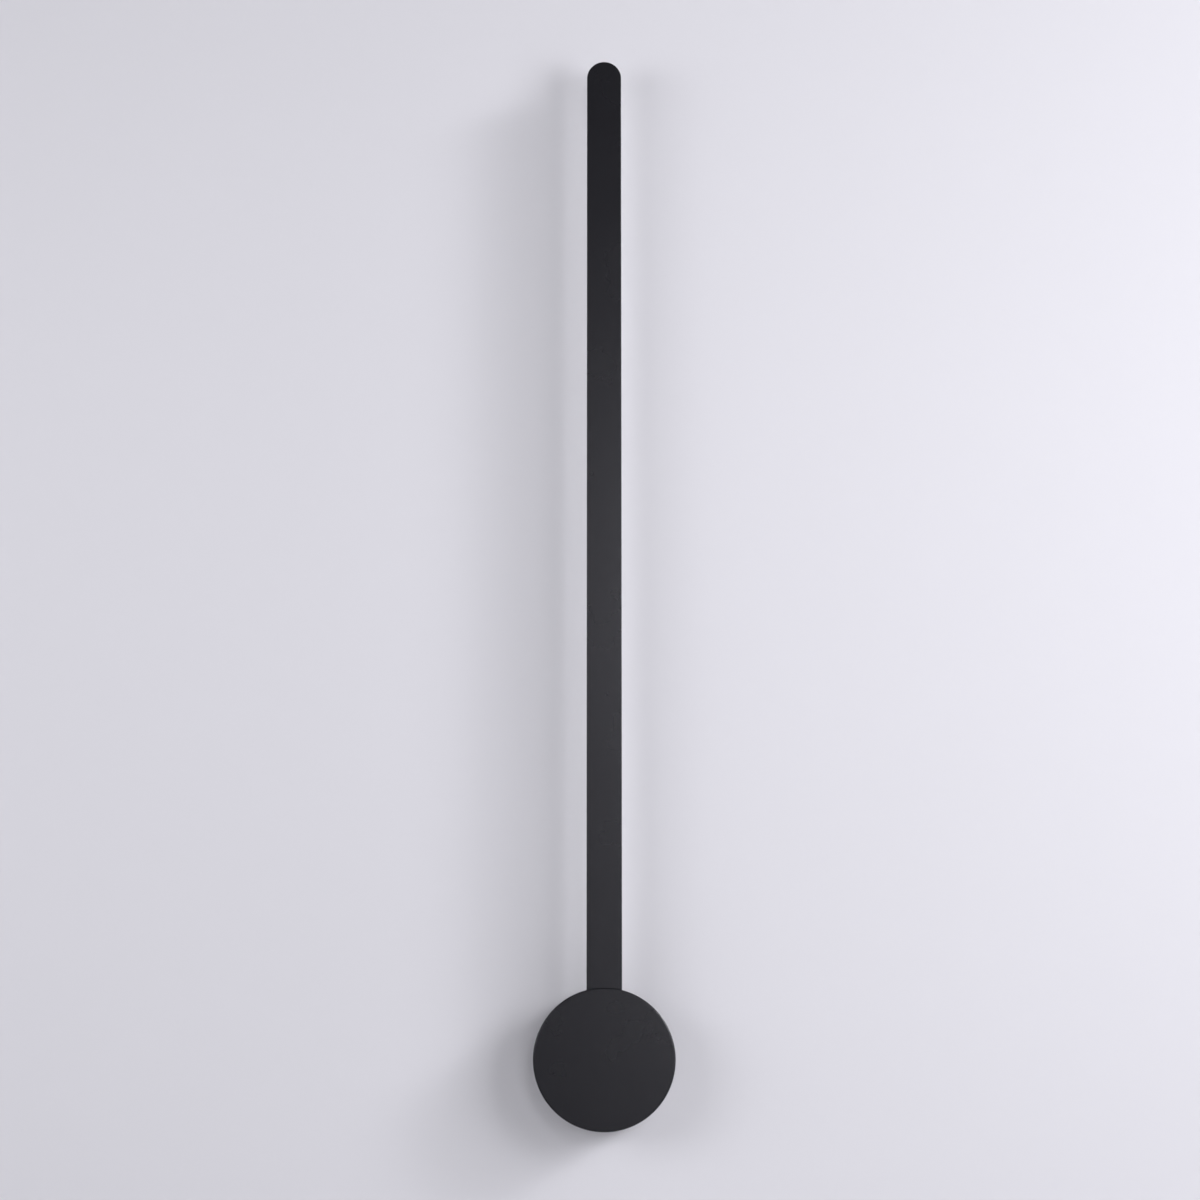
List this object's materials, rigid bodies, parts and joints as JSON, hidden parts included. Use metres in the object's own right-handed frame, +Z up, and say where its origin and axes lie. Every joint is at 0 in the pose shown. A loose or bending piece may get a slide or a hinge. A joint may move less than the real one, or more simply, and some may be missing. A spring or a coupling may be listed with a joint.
{
  "type": "linear wall light",
  "caption": "Slim linear LED wall light: a matt black bar with a rounded tip stands off the wall on a round black base and swivels about it.",
  "frame": {"origin": "centre of the wall bracket's back face, on the wall, on the swivel's axis", "axes": "+Z up along the arm at rest, +Y into the wall, so the light's front faces -Y, and +X to the right seen from the room"},
  "size_m": [0.12, 0.05, 0.93],
  "materials": {
    "black_paint": "matte",
    "zinc_steel": "satin",
    "bare_aluminium": "satin",
    "brass": "satin",
    "nickel": "polished",
    "nylon": "matte",
    "white_plastic": "satin",
    "grey_plastic": "matte",
    "opal_plastic": "satin",
    "circuit_board": "satin",
    "led_board": "satin",
    "thermal_pad": "matte",
    "lead_live": "satin",
    "lead_neutral": "satin",
    "lead_earth": "satin",
    "cable_jacket": "satin"
  },
  "bodies": {
    "base": {"wall_bracket": "zinc_steel", "side_screw_left": "zinc_steel", "side_screw_right": "zinc_steel", "earth_screw": "brass", "earth_washer": "zinc_steel", "earth_lead": "lead_earth", "terminal_block": "white_plastic", "terminal_clamp_screw_1": "brass", "terminal_clamp_screw_2": "brass", "terminal_clamp_screw_3": "brass", "terminal_screw_left": "zinc_steel", "terminal_screw_right": "zinc_steel", "live_lead": "lead_live", "neutral_lead": "lead_neutral", "driver_case": "grey_plastic", "driver_lid": "grey_plastic", "driver_board": "circuit_board", "driver_screw_left": "zinc_steel", "driver_screw_right": "zinc_steel", "output_cable": "cable_jacket", "base_housing": "black_paint", "pivot_tube": "brass", "pivot_rear_nut": "zinc_steel", "pivot_rear_washer": "zinc_steel", "friction_washer": "nylon", "wave_washer": "zinc_steel", "pivot_front_washer": "zinc_steel", "pivot_front_nut": "zinc_steel", "stop_pin": "zinc_steel"},
    "arm": {"hub_plate": "zinc_steel", "hub_screw_1": "zinc_steel", "hub_screw_2": "zinc_steel", "hub_screw_3": "zinc_steel", "hub_screw_4": "zinc_steel", "arm_block": "bare_aluminium", "arm_channel": "black_paint", "arm_screw_lower": "zinc_steel", "arm_screw_upper": "zinc_steel", "thermal_tape": "thermal_pad", "led_strip": "led_board", "diffuser": "opal_plastic", "arm_cable": "cable_jacket", "front_cover": "black_paint", "cover_magnet_1": "nickel", "cover_magnet_2": "nickel", "cover_magnet_3": "nickel", "cover_magnet_4": "nickel"}
  },
  "joints": [
    {"name": "arm_swivel", "type": "hinge", "parent": "base", "child": "arm", "pos_m": [0, 0, 0], "axis": [0, 1, 0], "range_deg": [-160, 160]}
  ]
}
